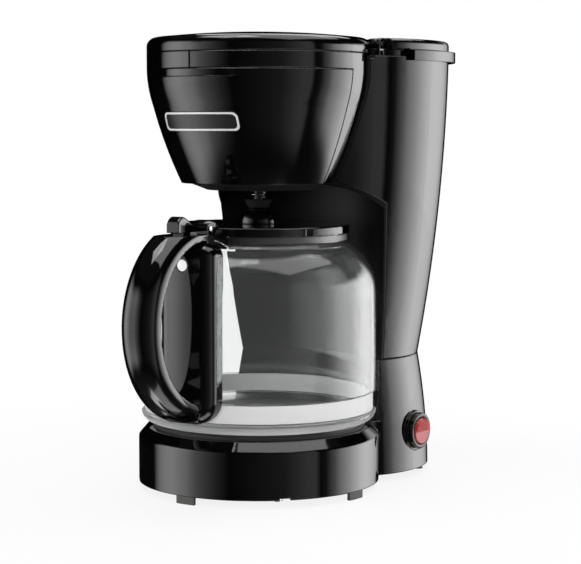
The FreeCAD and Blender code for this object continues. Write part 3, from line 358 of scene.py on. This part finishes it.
def blank_badge():
    """Plain dark plate without any writing."""
    f = Finish("blank_badge")
    brush = f.noise(500.0, 3.0, 0.6, stretch=(0.05, 0.05, 2.0))
    return f.set(Base_Color=f.blend(brush, grey(0.012), grey(0.03)), Metallic=0.3,
                 Roughness=brush.spread(0.18, 0.32), Normal=f.bump(brush, 0.08, 0.0002))


def silver_print():
    """Pale silver of the badge's frame."""
    f = Finish("silver_print")
    grain = f.noise(1200.0, 3.0)
    return f.set(Base_Color=f.blend(grain, grey(0.74), grey(0.86)), Metallic=0.25,
                 Roughness=grain.spread(0.35, 0.5), Normal=f.bump(grain, 0.06, 0.0002))


def carafe_glass():
    """Clear blown glass with slight waves and a few dried drops; its thick foot carries a painted highlight, a
    pale translucent shader mixed in for the light that it gathers.
    """
    f = Finish("carafe_glass")
    waves = f.noise(22.0, 2.0)
    drops = f.specks(240.0, 0.79, 0.02)
    f.set(Base_Color=f.blend(waves, (0.965, 0.985, 0.978, 1), (0.99, 0.998, 0.995, 1)),
          Roughness=drops * 0.12 + 0.005, Normal=f.bump(waves, 0.05, 0.0012),
          Transmission_Weight=0.988, IOR=1.38)
    height = f.wire.node("ShaderNodeSeparateXYZ", {}, {"Vector": f.place}, output="Z")
    # Painted highlight: under the bead's top the glass is mixed up to half with a pale translucent shader,
    # standing in for the light that the thick foot gathers.
    foot = height.step(GLASS_BEAD - BEAD_FADE, GLASS_BEAD, first=0.5, last=0.0)
    painted_foot_highlight = f.wire.node("ShaderNodeBsdfTranslucent", {}, {"Color": grey(0.9)})
    thick = f.wire.mix(foot * waves.spread(0.7, 1.3), f.wire, painted_foot_highlight)
    shadow = f.wire.node("ShaderNodeLightPath", output="Is Shadow Ray")
    clear = f.wire.node("ShaderNodeBsdfTransparent", {}, {"Color": grey(0.94)})
    f.wire.plug(f.tree.nodes["Material Output"].inputs["Surface"], f.wire.mix(shadow, thick, clear))
    return f.material


finishes = {
    "gloss_black": polished_black("polished_black", smoothest=0.03, roughest=0.07, index=1.6),
    "satin_black": satin_black(),
    "bezel_black": bezel_black(),
    "rubber_foot": soft_rubber("seal_rubber", darkest=0.012, palest=0.045),
    "silicone_hose": milky_silicone(),
    "plate_coating": plate_coating(),
    "cast_aluminium": cast_aluminium(),
    "bright_steel": bright_steel(),
    "terminal_brass": terminal_brass(),
    "thermostat_resin": thermostat_resin(),
    "rocker_red": rocker_red(),
    "badge": blank_badge(),
    "carafe_glass": carafe_glass(),
    "carafe_trim": carafe_trim(),
}

# Nodes that look unlike the rest of their slot.
own_finishes = {
    "reservoir_front": polished_black("dulled_black", smoothest=0.4, roughest=0.5, index=1.3),
    # The feet's rubber is a paler copy of the seals' rubber. It is partly the feet's own dark grey and partly
    # painted light, for the light that the tabs catch from the floor.
    "feet": soft_rubber("foot_rubber", darkest=0.07, palest=0.13),
    "neck_band": dull_steel(),
}


def dress_nodes():
    """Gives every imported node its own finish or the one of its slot."""
    for name, node in nodes.items():
        node.data.materials.clear()
        node.data.materials.append(own_finishes.get(name) or finishes[slot_of[name]])


def only(piece):
    """Selects the piece alone and makes it the active one."""
    bpy.ops.object.select_all(action="DESELECT")
    piece.select_set(True)
    bpy.context.view_layer.objects.active = piece


def pick(piece, wanted):
    """Selects in edit mode the vertices whose places are wanted."""
    bpy.ops.object.mode_set(mode="EDIT")
    bpy.ops.mesh.select_all(action="DESELECT")
    bpy.ops.object.mode_set(mode="OBJECT")
    for vertex in piece.data.vertices:
        vertex.select = wanted(vertex.co)
    bpy.ops.object.mode_set(mode="EDIT")


def badge_rim():
    """Bright frame with round corners on the edge of the blank badge, laid on the front's curve."""
    low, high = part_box("badge_plate")
    middle = (low + high) / 2
    wide = high.x - low.x
    tall = high.z - low.z
    straight = wide - 2 * RIM_CORNER
    inside = ((wide - 2 * RIM_WIDTH) / wide, 1.0, (tall - 2 * RIM_WIDTH) / tall)
    bpy.ops.object.select_all(action="DESELECT")
    bpy.ops.mesh.primitive_circle_add(vertices=RIM_POINTS, radius=RIM_CORNER,
                                      location=(middle.x, low.y - RIM_AHEAD, middle.z),
                                      rotation=(math.pi / 2, 0, math.pi / RIM_POINTS))
    rim = bpy.context.object
    rim.name = "badge_rim"
    bpy.ops.object.transform_apply(location=True, rotation=True, scale=True)
    for axis, stretch in ((0, wide / 2 - RIM_CORNER), (2, tall / 2 - RIM_CORNER)):
        for side in (-1.0, 1.0):
            pick(rim, lambda point: (point[axis] - middle[axis]) * side > 0)
            move = Vector((0, 0, 0))
            move[axis] = side * stretch
            bpy.ops.transform.translate(value=move)
            bpy.ops.object.mode_set(mode="OBJECT")
    bpy.ops.object.mode_set(mode="EDIT")
    bpy.ops.mesh.select_all(action="SELECT")
    bpy.ops.mesh.extrude_region_move()
    bpy.ops.transform.resize(value=inside)
    for cut in range(1, RIM_LENGTHS):
        bpy.ops.mesh.select_all(action="SELECT")
        bpy.ops.mesh.bisect(plane_co=(low.x + RIM_CORNER + straight * cut / RIM_LENGTHS, 0, 0),
                            plane_no=(1, 0, 0))
    bpy.ops.object.mode_set(mode="OBJECT")
    wrap = rim.modifiers.new("lay", "SHRINKWRAP")
    wrap.target = nodes["basket_front"]
    wrap.wrap_method = "PROJECT"
    wrap.use_project_y = True
    wrap.use_positive_direction = True
    wrap.offset = RIM_LIFT
    thick = rim.modifiers.new("thickness", "SOLIDIFY")
    thick.thickness = RIM_THICKNESS
    thick.offset = 0.0
    edge = rim.modifiers.new("edge", "BEVEL")
    edge.width = RIM_EDGE
    edge.segments = 2
    only(rim)
    for modifier in ("lay", "thickness", "edge"):
        bpy.ops.object.modifier_apply(modifier=modifier)
    bpy.ops.object.mode_set(mode="EDIT")
    bpy.ops.mesh.select_all(action="SELECT")
    bpy.ops.mesh.normals_make_consistent(inside=False)
    bpy.ops.object.mode_set(mode="OBJECT")
    bpy.ops.object.shade_smooth_by_angle(angle=math.radians(40))
    rim.data.materials.append(silver_print())
    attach(rim, "basket")


def valve_coil():
    """The valve's spring again, as a copy of its own on the basket in place of the hidden imported spring; the
    share it would shorten to by the valve's travel is worked out but not used.
    """
    low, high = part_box("valve_spring")
    travel = next(joint["range_m"][1] for joint in frame["joints"] if joint["name"] == "valve_lift")
    coil = bpy.data.objects.new("valve_coil", nodes["valve_spring"].data.copy())
    bpy.context.scene.collection.objects.link(coil)
    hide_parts("valve_spring")
    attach(coil, "basket")
    1.0 - travel / (high.z - low.z)
    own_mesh(coil)


def bare_tree(owner, output):
    """Empties the shader tree of a material or world, and returns a wire at the input of its new output."""
    owner.use_nodes = True
    tree = owner.node_tree
    tree.nodes.clear()
    return Wire(tree, tree.nodes.new(output).inputs["Surface"])


def straight_through(light_path):
    """1 for a ray that has come through glass without any reflection on its way."""
    unbent = light_path.maths("LESS_THAN", light_path.other("Glossy Depth"), 0.5)
    return light_path.other("Is Transmission Ray") * unbent


def pale_floor(share, clear_from, clear_to, mirror):
    """Pale matt surface that the camera and rays through glass see as white, wholly so far from the object.
    Gloss sees a dull mirror of the studio in it, as on a polished table."""
    material = bpy.data.materials.new("floor_white")
    wire = bare_tree(material, "ShaderNodeOutputMaterial")
    camera = wire.node("ShaderNodeLightPath", output="Is Camera Ray")
    straight = straight_through(camera)
    glossy = camera.other("Is Glossy Ray")
    reach = wire.node("ShaderNodeTexCoord", output="Object").length()
    far = reach.step(clear_from, clear_to, first=share)
    matt = wire.node("ShaderNodeBsdfDiffuse", {}, {"Color": grey(0.8)})
    white = wire.node("ShaderNodeEmission", {}, {"Color": grey(1.0), "Strength": 1.0})
    seen = wire.mix((camera + straight).clamp() * far, matt, white)
    sheen = wire.node("ShaderNodeBsdfGlossy", {}, {"Color": grey(mirror), "Roughness": 0.15})
    wire.plug(wire.socket, wire.mix(glossy * (1.0 - straight), seen, sheen))
    return material


def white_surround():
    """Dim light from all round, which the camera and rays through glass see as white."""
    world = bpy.data.worlds.new("studio")
    bpy.context.scene.world = world
    wire = bare_tree(world, "ShaderNodeOutputWorld")
    camera = wire.node("ShaderNodeLightPath", output="Is Camera Ray")
    dim = wire.node("ShaderNodeBackground", {}, {"Color": (0.95, 0.97, 1.0, 1), "Strength": 0.03})
    white = wire.node("ShaderNodeBackground", {}, {"Color": grey(1.0), "Strength": 1.0})
    wire.plug(wire.socket, wire.mix((camera + straight_through(camera)).clamp(), dim, white))


def turned(angle):
    """An angle from the front, from -180 to 180 degrees, as a share of the whole turn."""
    return (angle + 180.0) / 360.0


def panel_glow():
    """Light of the side panels, by the angle and the height; rays through glass pass it."""
    material = bpy.data.materials.new("panel_glow")
    wire = bare_tree(material, "ShaderNodeOutputMaterial")
    place = wire.node("ShaderNodeTexCoord", output="Object")
    x = wire.node("ShaderNodeSeparateXYZ", {}, {"Vector": place})
    height = x.other("Z") + RING_MIDDLE
    turn = wire.maths("ARCTAN2", x, x.other("Y") * -1.0) * (0.5 / math.pi) + 0.5
    level = turn.ramp([(turned(angle), grade / PANEL_STRENGTH) for angle, grade in PANELS])
    right = turn.step(*(turned(angle) for angle in RIGHT_BEGINS), kind="LINEAR")
    level = level * (1.0 - right * height.step(*RIGHT_FADE)) * (1.0 - height.step(*BRIM_FADE))
    glow = wire.node("ShaderNodeEmission", {}, {"Color": level, "Strength": PANEL_STRENGTH})
    straight = straight_through(wire.node("ShaderNodeLightPath"))
    clear = wire.node("ShaderNodeBsdfTransparent")
    wire.plug(wire.socket, wire.mix(straight, glow, clear))
    return material


def panel_ring():
    """Side panels set round the object, tall and bright on the left, low and bright at the right rear."""
    bpy.ops.mesh.primitive_cylinder_add(vertices=RING_SIDES, radius=RING_RADIUS, depth=2 * RING_MIDDLE,
                                        end_fill_type="NOTHING", location=(AXIS.x, AXIS.y, RING_MIDDLE))
    ring = bpy.context.object
    ring.name = "panel_ring"
    ring.visible_camera = False
    ring.visible_shadow = False
    ring.data.materials.append(panel_glow())


def softbox(name, azimuth, distance, height, wide, tall, radiance):
    """Area lamp at an angle from the front, turned to the object."""
    angle = math.radians(azimuth)
    lamp = bpy.data.lights.new(name, "AREA")
    lamp.shape = "RECTANGLE"
    lamp.size = wide
    lamp.size_y = tall
    lamp.energy = radiance * wide * tall * math.pi
    box = bpy.data.objects.new(name, lamp)
    box.visible_camera = False
    place = Vector((math.sin(angle) * distance, -math.cos(angle) * distance, height))
    facing = (LAMP_AIM - place).to_track_quat("-Z", "Y").to_matrix().to_4x4()
    box.matrix_world = Matrix.Translation(place) @ facing
    bpy.context.scene.collection.objects.link(box)
    return box


def studio():
    """White floor and surround, tall side panels, overhead boxes and a soft fill from the front."""
    bpy.ops.object.select_all(action="DESELECT")
    bpy.ops.mesh.primitive_plane_add(size=8.0, location=(0, 0, 0))
    floor = bpy.context.object
    floor.name = "floor"
    floor.data.materials.append(pale_floor(share=0.86, clear_from=0.2, clear_to=0.48, mirror=0.95))
    white_surround()
    panel_ring()
    softbox("overhead_box", azimuth=110, distance=0.4, height=1.5, wide=1.5, tall=1.3, radiance=2.2)
    softbox("left_top_box", azimuth=-40, distance=0.36, height=1.4, wide=0.7, tall=0.6, radiance=4.5)
    softbox("rear_top_box", azimuth=200, distance=0.8, height=1.3, wide=1.2, tall=0.6, radiance=3.0)
    fill = softbox("front_fill", azimuth=36, distance=1.3, height=0.55, wide=0.6, tall=0.6, radiance=6.0)
    fill.visible_glossy = False
    fill.visible_transmission = False


def photo_camera():
    """Camera in the photograph's place, with its lens."""
    azimuth = math.radians(CAMERA_AZIMUTH)
    place = AXIS + Vector((math.sin(azimuth), -math.cos(azimuth), 0)) * CAMERA_DISTANCE
    place.z = CAMERA_HEIGHT
    heading = math.radians(CAMERA_AZIMUTH + CAMERA_YAW)
    turn = Euler((math.radians(90 + CAMERA_PITCH), 0, heading)).to_matrix().to_4x4()
    roll = Matrix.Rotation(math.radians(CAMERA_ROLL), 4, "Z")
    lens = bpy.data.cameras.new("photo_camera")
    lens.lens = CAMERA_LENS
    lens.sensor_width = SENSOR_WIDTH
    lens.sensor_fit = "HORIZONTAL"
    lens.clip_start = 0.05
    lens.clip_end = 30.0
    camera = bpy.data.objects.new("photo_camera", lens)
    camera.matrix_world = Matrix.Translation(place) @ turn @ roll
    bpy.context.scene.collection.objects.link(camera)
    bpy.context.scene.camera = camera


dress_nodes()
badge_rim()
valve_coil()
studio()
photo_camera()
bpy.context.scene.view_settings.view_transform = "Standard"
